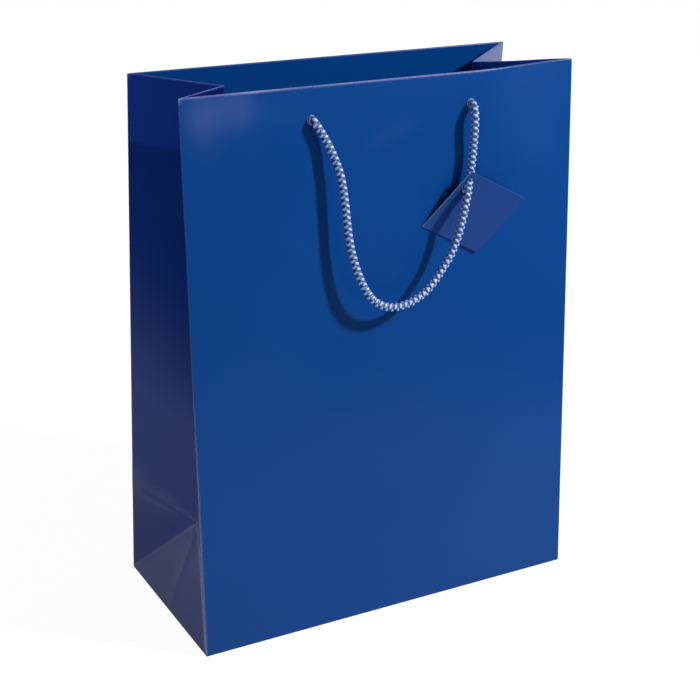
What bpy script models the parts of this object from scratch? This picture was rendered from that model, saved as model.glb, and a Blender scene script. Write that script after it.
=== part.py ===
"""Blue paper gift bag with two cord handles and a folded gift tag.

Metres, +Z up. The origin is on the ground under the middle of the bag. X runs along the wide
panels, the front panel faces -Y. The bag is one folded sheet: two wide panels that lean towards
each other at the top, two gussets that are creased inwards, a hem turned into the inside, and a
bottom of glued plies.
"""

import math

import bmesh
import bpy
from mathutils import Matrix, Vector

# The bag, standing open
bag_width = 0.256
bag_depth = 0.120
panel_height = 0.330  # measured on the paper, from the bottom fold to the top fold
top_lean = 0.0227  # how far each wide panel has come inwards at the top
paper = 0.0003
hem_depth = 0.040
crease_set = 0.0008  # the back panel's flat-folding crease stays pressed in by this much

# The bottom, made of glued plies
bottom_plies = 0.0009
flap_overlap = 0.015  # the front flap passes the middle by this much
glue_tab_width = 0.015
glue_tab_gap = 0.002  # from the tab's ends to the bottom and to the hem

# Clearance between pieces that touch
gap = 0.0003

# Cards
hem_card_thickness = 0.0005
hem_card_height = 0.036
hem_card_end_gap = 0.003
base_card_thickness = 0.0006
base_card_side_gap = 0.003
base_card_corner = 0.004

# Handles
cord_diameter = 0.006
hole_gap = 0.0003
hole_drop = 0.0182  # from the top fold to the middle of a hole
hole_spacing = 0.1046
hole_shift = 0.0028  # the holes were punched this far to the right
knot_width = 0.0135
knot_depth = 0.0112
knot_tail = 0.015  # from the knot's middle down to the cut end

# Gift tag
tag_paper = 0.00035
tag_length = 0.0435
tag_width = 0.0440
tag_fold_radius = 0.0004
tag_spread = 0.0009  # how much wider the leaves stand apart at their free edge
tag_hole_gap = 0.0004
tag_corner_to_hole = (0.0021, 0.0086, 0.0020)  # from the tag's hole to its top corner
tag_edge_down = (-0.690, -0.681, -0.216)  # from the top corner along the cut edge
tag_edge_across = (0.887, -0.462, 0.016)  # from the top corner along the fold

# The front handle hangs in a loop. Each point is the distance to the right of the middle, the drop
# below the top fold and the distance out from the panel, from the left hole to the right one.
front_route = (
    (-0.0495, 0.0182, -0.0018),
    (-0.0495, 0.0182, 0.0014),
    (-0.0492, 0.0194, 0.0042),
    (-0.0470, 0.0228, 0.0047),
    (-0.0438, 0.0285, 0.0048),
    (-0.0411, 0.0345, 0.0057),
    (-0.0386, 0.0415, 0.0072),
    (-0.0365, 0.0493, 0.0084),
    (-0.0352, 0.0579, 0.0091),
    (-0.0343, 0.0672, 0.0096),
    (-0.0337, 0.0764, 0.0100),
    (-0.0328, 0.0855, 0.0105),
    (-0.0315, 0.0938, 0.0110),
    (-0.0297, 0.1015, 0.0117),
    (-0.0271, 0.1092, 0.0122),
    (-0.0237, 0.1166, 0.0128),
    (-0.0190, 0.1231, 0.0131),
    (-0.0134, 0.1271, 0.0135),
    (-0.0069, 0.1291, 0.0138),
    (0.0000, 0.1290, 0.0140),
    (0.0070, 0.1273, 0.0140),
    (0.0138, 0.1240, 0.0140),
    (0.0200, 0.1190, 0.0140),
    (0.0259, 0.1124, 0.0139),
    (0.0312, 0.1056, 0.0138),
    (0.0354, 0.0986, 0.0136),
    (0.0386, 0.0910, 0.0135),
    (0.0411, 0.0830, 0.0134),
    (0.0430, 0.0760, 0.0132),
    (0.0447, 0.0706, 0.0125),
    (0.0461, 0.0676, 0.0113),
    (0.0474, 0.0653, 0.0098),
    (0.0488, 0.0627, 0.0083),
    (0.0502, 0.0593, 0.0070),
    (0.0515, 0.0538, 0.0063),
    (0.0526, 0.0462, 0.0062),
    (0.0531, 0.0382, 0.0065),
    (0.0533, 0.0306, 0.0070),
    (0.0535, 0.0246, 0.0067),
    (0.0542, 0.0202, 0.0048),
    (0.0550, 0.0183, 0.0014),
    (0.0551, 0.0182, -0.0018),
)
tag_point = 31  # the front route's point where the cord passes through the tag

# The back handle hangs behind the back panel. Half of its loop, from a hole to the lowest point.
back_half_route = (
    (0.0523, 0.0182, -0.0018),
    (0.0523, 0.0182, 0.0014),
    (0.0525, 0.0194, 0.0052),
    (0.0523, 0.0226, 0.0084),
    (0.0512, 0.0278, 0.0104),
    (0.0496, 0.0345, 0.0112),
    (0.0480, 0.0425, 0.0115),
    (0.0466, 0.0515, 0.0117),
    (0.0453, 0.0610, 0.0119),
    (0.0440, 0.0705, 0.0121),
    (0.0425, 0.0798, 0.0123),
    (0.0405, 0.0888, 0.0125),
    (0.0378, 0.0974, 0.0127),
    (0.0341, 0.1054, 0.0129),
    (0.0293, 0.1125, 0.0131),
    (0.0232, 0.1184, 0.0132),
    (0.0160, 0.1228, 0.0133),
    (0.0081, 0.1254, 0.0133),
    (0.0000, 0.1263, 0.0133),
)

# Colours from the photograph, as linear values
outer_blue = (0.002, 0.055, 0.245, 1)
card_white = (0.78, 0.76, 0.70, 1)
card_grey = (0.50, 0.47, 0.42, 1)
cord_blue = (0.035, 0.10, 0.42, 1)

# Sizes worked out from the ones above
half_width = bag_width / 2 - paper / 2  # to the middle of the sheet
half_depth = bag_depth / 2 - paper / 2
lean_sin = top_lean / panel_height
lean_cos = math.sqrt(1 - lean_sin**2)
apex_height = half_depth  # the bottom triangle's corner, on the paper
card_pocket = hem_card_thickness + 2 * gap
hem_stack = 2 * paper + card_pocket  # the wall, the pocket and the turned-in ply
panel_fold = hem_stack - paper  # from the middle of the wall to the middle of the ply
gusset_fold = paper + gap
fold_rise = 0.0005
hem_line = panel_height - hem_depth
hole_height = panel_height - hole_drop
hole_diameter = cord_diameter + 2 * hole_gap
cutter_reach = 0.010


def clear_scene():
    for existing in list(bpy.data.objects):
        bpy.data.objects.remove(existing, do_unlink=True)


def make_collection(name):
    collection = bpy.data.collections.new(name)
    bpy.context.scene.collection.children.link(collection)
    return collection


def make_material(name, colour, roughness, metallic=0.0):
    material = bpy.data.materials.new(name)
    material.use_nodes = True
    shader = material.node_tree.nodes["Principled BSDF"]
    shader.inputs["Base Color"].default_value = colour
    shader.inputs["Roughness"].default_value = roughness
    shader.inputs["Metallic"].default_value = metallic
    return material


def mesh_object(name, build, collection, material=None):
    """A new object whose mesh is what build(bm) puts into an empty bmesh."""
    bm = bmesh.new()
    build(bm)
    mesh = bpy.data.meshes.new(name)
    bm.to_mesh(mesh)
    bm.free()
    made = bpy.data.objects.new(name, mesh)
    collection.objects.link(made)
    if material:
        mesh.materials.append(material)
    return made


def hide_cutter(cutter):
    cutter.hide_render = True
    cutter.display_type = "WIRE"


def add_boolean(target, cutter, operation):
    modifier = target.modifiers.new(cutter.name, "BOOLEAN")
    modifier.operation = operation
    modifier.solver = "EXACT"
    modifier.object = cutter


def add_thickness(sheet, thickness):
    modifier = sheet.modifiers.new("thickness", "SOLIDIFY")
    modifier.thickness = thickness
    modifier.offset = 0
    modifier.use_even_offset = True
    modifier.use_quality_normals = True


def panel_point(across, height, out, side=-1):
    """A point beside a wide panel. height runs up its paper, out is from its outer face."""
    stand = bag_depth / 2 - height * lean_sin + out * lean_cos
    return Vector((across, side * stand, height * lean_cos + out * lean_sin))


def panel_inset(height):
    """How far a wide panel has come inwards at this height on the paper."""
    return height * lean_sin


def edge_place(height):
    """The distance from the middle plane and the height of a panel's upright edge."""
    return half_depth - panel_inset(height), height * lean_cos


def crease_inward(height):
    """How far the gusset's crease is pushed in, where half the gusset keeps its paper width."""
    edge_y, _ = edge_place(height)
    return math.sqrt(half_depth**2 - edge_y**2)


def crease_places(heights):
    """The inward step and the height of the gusset's crease, for rising heights on the paper.

    The crease comes inwards as the panels close and keeps its own length, so it sinks a little.
    """
    places = []
    step = 0.001
    inward = crease_inward(apex_height)
    rise = math.sqrt(apex_height**2 - inward**2)
    at = apex_height
    for height in heights:
        while at < height - 1e-9:
            length = min(step, height - at)
            at += length
            next_inward = crease_inward(at)
            rise += math.sqrt(length**2 - (next_inward - inward) ** 2)
            inward = next_inward
        places.append((inward, rise))
    return places


def offset_loop(edge_y, inward, panel_step, gusset_step):
    """The bag's outline at one height, moved inwards: front left first, then round by the right.

    It gives (x, y) for the front left corner, the front right one, the right crease, the back right
    corner, the back left one and the left crease.
    """
    along = Vector((inward, edge_y)).normalized()
    slide = (panel_step - gusset_step * -along.x) / along.y
    corner_x = gusset_step * along.y + slide * along.x
    corner_y = edge_y - panel_step
    crease_x = inward + gusset_step / along.y
    return (
        (-half_width + corner_x, -corner_y),
        (half_width - corner_x, -corner_y),
        (half_width - crease_x, 0.0),
        (half_width - corner_x, corner_y),
        (-half_width + corner_x, corner_y),
        (-half_width + crease_x, 0.0),
    )


def add_loop(bm, outline, edge_z, crease_z):
    heights = (edge_z, edge_z, crease_z, edge_z, edge_z, crease_z)
    return [bm.verts.new((x, y, z)) for (x, y), z in zip(outline, heights)]


def join_loops(bm, lower, upper):
    for i in range(len(lower)):
        j = (i + 1) % len(lower)
        bm.faces.new((lower[i], lower[j], upper[j], upper[i]))


def build_sheet(bm):
    """The middle surface of the folded sheet, from the bottom up the walls and into the hem."""
    wall_top = panel_height - fold_rise
    heights = [apex_height, 0.090, 0.125, 0.165, 0.210, 0.250, hem_line, wall_top]
    creases = crease_places(heights)

    floor = paper / 2
    base = [
        bm.verts.new((x, y, floor))
        for x, y in (
            (-half_width, -half_depth),
            (half_width, -half_depth),
            (half_width, half_depth),
            (-half_width, half_depth),
        )
    ]
    bm.faces.new(base[::-1])

    loops = []
    for height, (inward, rise) in zip(heights, creases):
        edge_y, edge_z = edge_place(height)
        loops.append(add_loop(bm, offset_loop(edge_y, inward, 0, 0), edge_z, rise))
    for back_corner in (3, 4):
        loops[0][back_corner].co.y -= crease_set

    # Each gusset stands on a flat triangle that leans inwards
    front_left, front_right, right, back_right, back_left, left = loops[0]
    bm.faces.new((base[0], base[1], front_right, front_left))
    bm.faces.new((base[1], right, front_right))
    bm.faces.new((base[1], base[2], right))
    bm.faces.new((base[2], back_right, right))
    bm.faces.new((base[2], base[3], back_left, back_right))
    bm.faces.new((base[3], left, back_left))
    bm.faces.new((base[3], base[0], left))
    bm.faces.new((base[0], front_left, left))
    for lower, upper in zip(loops, loops[1:]):
        join_loops(bm, lower, upper)

    # The hem turns over at the top and comes down inside
    inward, rise = creases[-1]
    edge_y, edge_z = edge_place(wall_top)
    previous = loops[-1]
    turns = 4
    for turn in range(1, turns + 1):
        angle = math.pi * turn / turns
        share = (1 - math.cos(angle)) / 2
        lift = fold_rise * math.sin(angle)
        outline = offset_loop(edge_y, inward, panel_fold * share, gusset_fold * share)
        loop = add_loop(bm, outline, edge_z + lift, rise + lift)
        join_loops(bm, previous, loop)
        previous = loop
    inward, rise = creases[-2]
    edge_y, edge_z = edge_place(hem_line)
    outline = offset_loop(edge_y, inward, panel_fold, gusset_fold)
    join_loops(bm, previous, add_loop(bm, outline, edge_z, rise))


def add_prism(bm, outline, low, high):
    """A closed upright prism over an outline of (x, y) points that runs anticlockwise."""
    bottom = [bm.verts.new((x, y, low)) for x, y in outline]
    top = [bm.verts.new((x, y, high)) for x, y in outline]
    bm.faces.new(bottom[::-1])
    bm.faces.new(top)
    join_loops(bm, bottom, top)


def build_bottom_plies(bm):
    side = half_width - paper
    end = half_depth
    outline = ((-side, -end), (side, -end), (side, end), (-side, end))
    add_prism(bm, outline, paper / 2, bottom_plies)


def build_side_recess(bm):
    """The triangles of the side flaps, one ply higher than the front and back flaps."""
    tip = bag_depth / 2 - paper
    edge = bag_width / 2 + paper
    for side in (-1, 1):
        outline = [(side * edge, -tip), (side * (edge - tip), 0), (side * edge, tip)]
        if side > 0:
            outline.reverse()
        add_prism(bm, outline, -paper, paper)


def build_back_recess(bm):
    """The back flap comes out from under the front flap's free edge and falls to its own fold."""
    near = flap_overlap
    far = bag_depth / 2 - paper
    near_x = bag_width / 2 - (bag_depth / 2 - near)
    far_x = bag_width / 2 - paper
    corners = ((-near_x, near), (near_x, near), (far_x, far), (-far_x, far))
    bottom = [bm.verts.new((x, y, -paper)) for x, y in corners]
    depths = (paper, paper, paper / 10, paper / 10)
    top = [bm.verts.new((x, y, z)) for (x, y), z in zip(corners, depths)]
    bm.faces.new(bottom[::-1])
    bm.faces.new(top)
    join_loops(bm, bottom, top)


def build_glue_tab(bm):
    """The tube's seam: a strip of paper glued inside the back panel at its right edge."""
    outer = half_width - 2 * paper
    inner = outer - glue_tab_width
    sink = paper / 4
    rows = []
    for height in (bottom_plies + glue_tab_gap, apex_height, hem_line - glue_tab_gap):
        edge_y, edge_z = edge_place(height)
        if height == apex_height:
            edge_y -= crease_set
        far = edge_y - paper / 2 + sink
        near = edge_y - paper * 1.5
        corners = ((inner, near), (outer, near), (outer, far), (inner, far))
        rows.append([bm.verts.new((x, y, edge_z)) for x, y in corners])
    bm.faces.new(rows[0][::-1])
    bm.faces.new(rows[-1])
    for lower, upper in zip(rows, rows[1:]):
        join_loops(bm, lower, upper)


def add_rod(bm, start, end, diameter, sides):
    """A closed cylinder from one point to another."""
    axis = end - start
    turn = axis.to_track_quat("Z", "Y").to_matrix().to_4x4()
    place = Matrix.Translation((start + end) / 2) @ turn
    bmesh.ops.create_cone(
        bm,
        cap_ends=True,
        segments=sides,
        radius1=diameter / 2,
        radius2=diameter / 2,
        depth=axis.length,
        matrix=place,
    )


def hole_places():
    """(across, side) of the four holes. Seen from the front, the shift is the same in both panels."""
    places = []
    for side in (-1, 1):
        shift = hole_shift if side < 0 else 0.0
        for hand in (-1, 1):
            places.append((shift + hand * hole_spacing / 2, side))
    return places


def build_hole_cutters(bm):
    for across, side in hole_places():
        start = panel_point(across, hole_height, -cutter_reach, side)
        end = panel_point(across, hole_height, cutter_reach, side)
        add_rod(bm, start, end, hole_diameter, 32)


def add_bag(parts, cutters, material):
    bag = mesh_object("bag_body", build_sheet, parts, material)
    add_thickness(bag, paper)
    steps = (
        ("bottom_plies_helper", build_bottom_plies, "UNION"),
        ("glue_tab_helper", build_glue_tab, "UNION"),
        ("side_recess_cutter", build_side_recess, "DIFFERENCE"),
        ("back_recess_cutter", build_back_recess, "DIFFERENCE"),
        ("hole_cutter", build_hole_cutters, "DIFFERENCE"),
    )
    for name, build, operation in steps:
        helper = mesh_object(name, build, cutters)
        hide_cutter(helper)
        add_boolean(bag, helper, operation)
    return bag


def add_hem_card(name, side, parts, material):
    """A stiff strip in the hem pocket, with its two holes in line with the bag's."""
    top = panel_height - fold_rise - gap
    half = bag_width / 2 - hem_card_end_gap
    outer = -(paper + gap)
    inner = outer - hem_card_thickness

    def build(bm):
        rows = []
        for height in (top - hem_card_height, top):
            corners = ((-half, outer), (half, outer), (half, inner), (-half, inner))
            rows.append([bm.verts.new(panel_point(x, height, out, side)) for x, out in corners])
        bm.faces.new(rows[0][::-1])
        bm.faces.new(rows[1])
        join_loops(bm, rows[0], rows[1])
        if side > 0:
            bmesh.ops.reverse_faces(bm, faces=bm.faces)

    card = mesh_object(name, build, parts, material)
    add_boolean(card, bpy.data.objects["hole_cutter"], "DIFFERENCE")
    return card


def add_base_card(parts, material):
    """The loose board that lies on the bottom, with its corners cut off."""
    half_x = bag_width / 2 - base_card_side_gap
    half_y = bag_depth / 2 - base_card_side_gap
    cut = base_card_corner
    low = bottom_plies + gap

    def build(bm):
        outline = (
            (-half_x + cut, -half_y),
            (half_x - cut, -half_y),
            (half_x, -half_y + cut),
            (half_x, half_y - cut),
            (half_x - cut, half_y),
            (-half_x + cut, half_y),
            (-half_x, half_y - cut),
            (-half_x, -half_y + cut),
        )
        add_prism(bm, outline, low, low + base_card_thickness)

    return mesh_object("base_card", build, parts, material)


def smooth_curve(points, spacing):
    """Points about this far apart on the smooth curve through the given ones."""
    fine = []
    for i in range(len(points) - 1):
        before = points[max(i - 1, 0)]
        start = points[i]
        end = points[i + 1]
        after = points[min(i + 2, len(points) - 1)]
        for step in range(8):
            t = step / 8
            fine.append(
                start
                + (end - before) * t / 2
                + (2 * before - 5 * start + 4 * end - after) * t**2 / 2
                + (3 * start - before - 3 * end + after) * t**3 / 2
            )
    fine.append(points[-1])
    lengths = [0.0]
    for a, b in zip(fine, fine[1:]):
        lengths.append(lengths[-1] + (b - a).length)
    count = round(lengths[-1] / spacing)
    curve = []
    at = 0
    for k in range(count + 1):
        wanted = lengths[-1] * k / count
        while at < len(fine) - 2 and lengths[at + 1] < wanted:
            at += 1
        share = (wanted - lengths[at]) / (lengths[at + 1] - lengths[at])
        curve.append(fine[at].lerp(fine[at + 1], share))
    return curve


def route_points(route, side):
    return [panel_point(across, panel_height - drop, out, side) for across, drop, out in route]


def add_cord(name, points, parts, material):
    """A round cord on a poly line, closed at both ends."""
    curve = bpy.data.curves.new(name, "CURVE")
    curve.dimensions = "3D"
    curve.bevel_depth = cord_diameter / 2
    curve.bevel_resolution = 2
    curve.use_fill_caps = True
    spline = curve.splines.new("POLY")
    spline.points.add(len(points) - 1)
    for spot, point in zip(spline.points, points):
        spot.co = (*point, 1)
    curve.materials.append(material)
    cord = bpy.data.objects.new(name, curve)
    parts.objects.link(cord)
    return cord


def add_knot(name, across, side, parts, cutters, material):
    """The lump of an overhand knot against the hem, with its cut end hanging down."""
    middle_out = -(hem_stack + gap + knot_depth / 2)
    middle = panel_point(across, hole_height, middle_out, side)
    turn = Matrix.Rotation(side * math.asin(lean_sin), 4, "X")

    def build_lump(bm):
        size = Matrix.Diagonal((knot_width, knot_depth, knot_width, 1))
        place = Matrix.Translation(middle) @ turn @ size
        bmesh.ops.create_uvsphere(bm, u_segments=16, v_segments=10, radius=0.5, matrix=place)

    def build_tail(bm):
        add_rod(bm, middle, middle - Vector((0, 0, knot_tail)), cord_diameter, 12)

    knot = mesh_object(name, build_lump, parts, material)
    tail = mesh_object(name + "_tail_helper", build_tail, cutters)
    hide_cutter(tail)
    add_boolean(knot, tail, "UNION")
    return knot


def add_tag(hole, cord_direction, parts, cutters, material):
    """Two leaves of card that meet in a fold, with a hole where the cord passes through them."""
    right = Vector((1, 0, 0))
    up = panel_point(0, 1, 0) - panel_point(0, 0, 0)
    out = panel_point(0, 0, 1) - panel_point(0, 0, 0)

    def on_panel(values):
        return right * values[0] + up * values[1] + out * values[2]

    corner = hole + on_panel(tag_corner_to_hole)
    down = on_panel(tag_edge_down).normalized() * tag_length
    across = on_panel(tag_edge_across).normalized() * tag_width
    back = down.cross(across).normalized()
    if back.dot(out) > 0:
        back = -back
    fold_step = back * tag_fold_radius

    def build(bm):
        rows = [(down, Vector()), (down * 0.5, Vector()), (Vector(), Vector())]
        turns = 3
        for turn in range(1, turns):
            angle = math.pi * turn / turns
            bulge = -down.normalized() * tag_fold_radius * math.sin(angle)
            rows.append((bulge, fold_step * (1 - math.cos(angle))))
        spread = back * tag_spread
        rows.append((Vector(), 2 * fold_step))
        rows.append((down * 0.5, 2 * fold_step + spread * 0.5))
        rows.append((down, 2 * fold_step + spread))
        previous = None
        for along, behind in rows:
            start = corner + along + behind
            row = [bm.verts.new(start), bm.verts.new(start + across)]
            if previous:
                bm.faces.new((previous[0], previous[1], row[1], row[0]))
            previous = row

    def build_cutter(bm):
        reach = cord_direction * cord_diameter
        add_rod(bm, hole - reach, hole + reach, cord_diameter + 2 * tag_hole_gap, 24)

    tag = mesh_object("gift_tag", build, parts, material)
    add_thickness(tag, tag_paper)
    cutter = mesh_object("tag_hole_cutter", build_cutter, cutters)
    hide_cutter(cutter)
    add_boolean(tag, cutter, "DIFFERENCE")
    return tag


def main():
    clear_scene()
    parts = make_collection("paper_gift_bag")
    cutters = make_collection("cutters")
    blue_paper = make_material("blue_laminated_paper", outer_blue, 0.35)
    tag_card = make_material("blue_tag_card", outer_blue, 0.40)
    white_card = make_material("white_card", card_white, 0.85)
    grey_board = make_material("grey_board", card_grey, 0.90)
    blue_cord = make_material("blue_braided_cord", cord_blue, 0.40)

    add_bag(parts, cutters, blue_paper)
    add_hem_card("hem_card_front", -1, parts, white_card)
    add_hem_card("hem_card_back", 1, parts, white_card)
    add_base_card(parts, grey_board)

    front = route_points(front_route, -1)
    mirrored = tuple((-across, drop, out) for across, drop, out in back_half_route[:-1])
    back = route_points(mirrored + back_half_route[::-1], 1)
    add_cord("handle_front", smooth_curve(front, cord_diameter), parts, blue_cord)
    add_cord("handle_back", smooth_curve(back, cord_diameter), parts, blue_cord)
    names = ("knot_front_left", "knot_front_right", "knot_back_left", "knot_back_right")
    for name, (across, side) in zip(names, hole_places()):
        add_knot(name, across, side, parts, cutters, blue_cord)

    direction = (front[tag_point + 1] - front[tag_point - 1]).normalized()
    add_tag(front[tag_point], direction, parts, cutters, tag_card)


main()
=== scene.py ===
import math

import bmesh
import bpy
import numpy as np
from mathutils import Euler, Matrix, Vector


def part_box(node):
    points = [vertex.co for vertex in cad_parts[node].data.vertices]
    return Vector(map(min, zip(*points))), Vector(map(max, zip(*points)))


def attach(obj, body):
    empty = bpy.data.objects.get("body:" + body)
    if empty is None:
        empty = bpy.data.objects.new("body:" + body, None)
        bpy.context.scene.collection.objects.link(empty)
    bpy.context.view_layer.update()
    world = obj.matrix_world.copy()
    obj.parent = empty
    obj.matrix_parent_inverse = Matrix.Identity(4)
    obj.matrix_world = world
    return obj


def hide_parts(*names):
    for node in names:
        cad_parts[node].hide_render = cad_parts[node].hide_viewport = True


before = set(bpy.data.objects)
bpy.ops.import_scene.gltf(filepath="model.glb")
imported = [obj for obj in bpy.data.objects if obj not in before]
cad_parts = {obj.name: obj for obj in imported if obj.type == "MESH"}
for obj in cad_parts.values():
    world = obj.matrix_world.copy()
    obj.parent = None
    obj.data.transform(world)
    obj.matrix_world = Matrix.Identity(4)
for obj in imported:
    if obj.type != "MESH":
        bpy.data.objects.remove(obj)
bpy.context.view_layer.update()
print("frame loaded")

# metres, +Z up, the front panel faces -Y


def deselectAll():
    if bpy.context.mode != "OBJECT":
        bpy.ops.object.mode_set(mode="OBJECT")
    bpy.ops.object.select_all(action="DESELECT")


def activate(obj):
    deselectAll()
    obj.select_set(True)
    bpy.context.view_layer.objects.active = obj


def applyAll(obj):
    activate(obj)
    for modifier in list(obj.modifiers):
        bpy.ops.object.modifier_apply(modifier=modifier.name)


# gives a sheet its thickness, half of it to each side
def thicken(obj, thickness, **settings):
    solid = obj.modifiers.new("thickness", "SOLIDIFY")
    solid.thickness = thickness
    solid.offset = 0
    for key, value in settings.items():
        setattr(solid, key, value)
    applyAll(obj)


# cuts a round hole; the turn points the punch through the sheet
def punchHole(obj, place, across, turn, material):
    deselectAll()
    bpy.ops.mesh.primitive_cylinder_add(vertices=32, radius=across / 2, depth=0.012, location=place)
    punch = bpy.context.active_object
    punch.rotation_mode = "QUATERNION"
    punch.rotation_quaternion = turn
    punch.data.materials.append(material)
    cut = obj.modifiers.new("hole", "BOOLEAN")
    cut.operation = "DIFFERENCE"
    cut.solver = "EXACT"
    cut.object = punch
    applyAll(obj)
    bpy.data.objects.remove(punch)


def newMeshObject(name, points, faces):
    mesh = bpy.data.meshes.new(name)
    mesh.from_pydata([tuple(p) for p in points], [], faces)
    mesh.update()
    obj = bpy.data.objects.new(name, mesh)
    bpy.context.scene.collection.objects.link(obj)
    return obj


# the faces of a grid whose points are listed row by row
def gridFaces(rows, wide):
    return [
        (r * wide + c, r * wide + c + 1, (r + 1) * wide + c + 1, (r + 1) * wide + c)
        for r in range(rows - 1)
        for c in range(wide - 1)
    ]


# keeps each point's place on the flat paper as the piece's UV map
def keepFlatPlaces(mesh, places):
    layer = mesh.uv_layers.new(name="paper")
    index = np.zeros(len(mesh.loops), int)
    mesh.loops.foreach_get("vertex_index", index)
    layer.data.foreach_set("uv", places[index].ravel())


# one number for each point, which a material reads by its name
def keepValues(mesh, name, values):
    layer = mesh.attributes.new(name, "FLOAT", "POINT")
    layer.data.foreach_set("value", np.array(values, np.float32))


def readPoints(mesh):
    points = np.zeros(len(mesh.vertices) * 3)
    mesh.vertices.foreach_get("co", points)
    return points.reshape(-1, 3)


def movePoints(mesh, points):
    mesh.vertices.foreach_set("co", points.ravel())
    mesh.update()


# the visible piece takes the place of the solid of that name
def dress(piece, node):
    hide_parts(node)
    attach(piece, "root")


def smoothStep(low, high, value):
    t = np.clip((value - low) / (high - low), 0, 1)
    return t * t * (3 - 2 * t)


# the bag's own sizes, as in the solid
bag = {
    "width": 0.256,
    "depth": 0.120,
    "panelHeight": 0.330,  # on the paper, from the bottom fold to the top fold
    "topLean": 0.0227,
    "leftCrease": (0.91, 0.15),  # how deep the left gusset is against the right one, from this height up
    "cornerTurn": (0.0024, 0.0043, 0.0010),  # the top right corner of the front: to the right, in, up
    "creaseLift": (0.0018, 0.0011),  # how much higher the side creases end: right, left
    "paper": 0.0003,
    "hemDepth": 0.040,
    "hemCard": 0.0005,
    "gap": 0.0003,
    "foldRise": 0.0005,
    "turnLength": 0.0022,  # paper that goes round the top fold
    "foldRadius": 0.0007,  # how soft a pressed crease is
    "flapOverlap": 0.015,  # the front flap passes the middle by this much
    "flapPastSlant": 0.0012,  # the side flaps reach this far under the others
    "flapGlue": 0.004,  # how far the front flap's end lies over the back one
    "frontBow": 0.0009,  # how far the front panel swells outwards
    "backBow": 0.0007,
    "gussetBow": 0.0008,
    "ripple": 0.00022,  # how high the wide panels' faint waves are
    "plySink": 0.00032,  # how much higher the covered flaps lie, and how far from their folds they get there
    "sidePlyReach": 0.0025,
    "backPlyReach": 0.044,
    "seamTab": 0.015,
    "seamTabEnds": (0.006, 0.002),  # from the bottom, and from the hem
}

# the wide panels' faint waves: share, runs across and up, start, and how the start moves by panel
waves = (
    (1.0, 31, 17, 1.3, 1.0),
    (0.7, 52, -29, 0.0, 4.1),
    (0.6, -23, 61, 2.2, 0.0),
    (0.4, 95, 83, 0.7, 0.0),
)
# soft dents and swellings: place and reach on the flat paper (across, up), then how far out
bulges = (
    ((0.034, 0.308), (0.022, 0.0095), 0.0010),
    ((0.205, 0.120), (0.060, 0.0500), 0.0005),
)
# faint lines in the paper: two ends on the flat paper, half width, height
wrinkles = (
    ((0.6912, 0.052), (0.6892, 0.004), 0.0022, 0.00022),  # the left gusset's middle, at its foot
    ((0.3156, 0.052), (0.3156, 0.004), 0.0022, 0.00020),
    ((0.6330, 0.142), (0.6730, 0.1175), 0.0030, 0.00024),
    ((0.6330, 0.291), (0.7400, 0.291), 0.0016, 0.00016),  # the hem's end shows through
    ((0.2580, 0.291), (0.3740, 0.291), 0.0016, 0.00016),
    ((0.1110, 0.2925), (0.1460, 0.3030), 0.0032, 0.00030),  # a soft line between the handle's ends
)
# painted sheen: streaks painted paler (above 0) or darker on the film, standing in for its reflection; two
# ends on the flat paper, half width, amount
sheenPatches = (
    # a painted sheen at the front's top left, and a painted highlight along the soft line between the
    # handle's ends
    ((0.0040, 0.3215), (0.0450, 0.3235), 0.0075, 0.055),
    ((0.0020, 0.3100), (0.0220, 0.3160), 0.0085, 0.030),
    ((0.1110, 0.2925), (0.1460, 0.3030), 0.0024, 0.009),
)

halfWidth = bag["width"] / 2 - bag["paper"] / 2
halfDepth = bag["depth"] / 2 - bag["paper"] / 2
leanSin = bag["topLean"] / bag["panelHeight"]
leanCos = math.sqrt(1 - leanSin**2)
apexHeight = halfDepth
panelSpan = 2 * halfWidth
gussetSpan = 2 * halfDepth
roundSpan = 2 * (panelSpan + gussetSpan)
wallTop = bag["panelHeight"] - bag["foldRise"]
hemStart = wallTop + bag["turnLength"]
hemEnd = hemStart + bag["hemDepth"]
panelFold = bag["paper"] + bag["hemCard"] + 2 * bag["gap"]
gussetFold = bag["paper"] + bag["gap"]
floorLevel = bag["paper"] / 2
cornerStarts = (0, panelSpan, panelSpan + gussetSpan, 2 * panelSpan + gussetSpan, roundSpan)


def panelPoint(across, height, out, side=-1):
    stand = bag["depth"] / 2 - height * leanSin + out * leanCos
    return Vector((across, side * stand, height * leanCos + out * leanSin))


# where the side crease runs above the triangle: it comes inwards as the panels close in, and each
# stretch of it keeps its length
creaseHeights = np.arange(apexHeight, bag["panelHeight"] + 0.0011, 0.001)
creaseIns = np.sqrt(np.maximum(halfDepth**2 - (halfDepth - creaseHeights * leanSin) ** 2, 0))
creaseSteps = np.sqrt(np.diff(creaseHeights) ** 2 - np.diff(creaseIns) ** 2)
creaseRises = np.concatenate(([0.0], np.cumsum(creaseSteps)))
creaseRises += math.sqrt(apexHeight**2 - creaseIns[0] ** 2)
apexIn = float(creaseIns[0])
apexRise = float(creaseRises[0])


def creaseAt(height):
    return np.interp(height, creaseHeights, creaseIns), np.interp(height, creaseHeights, creaseRises)


def mix(a, b, t):
    return a + (b - a) * t


# which part of the sheet a place is on (0 front, 1 right, 2 back, 3 left), and how far across it
def findPart(s):
    s = np.mod(s, roundSpan)
    part = np.clip(np.searchsorted(cornerStarts, s, side="right") - 1, 0, 3)
    return s, part, s - np.array(cornerStarts)[part]


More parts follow.
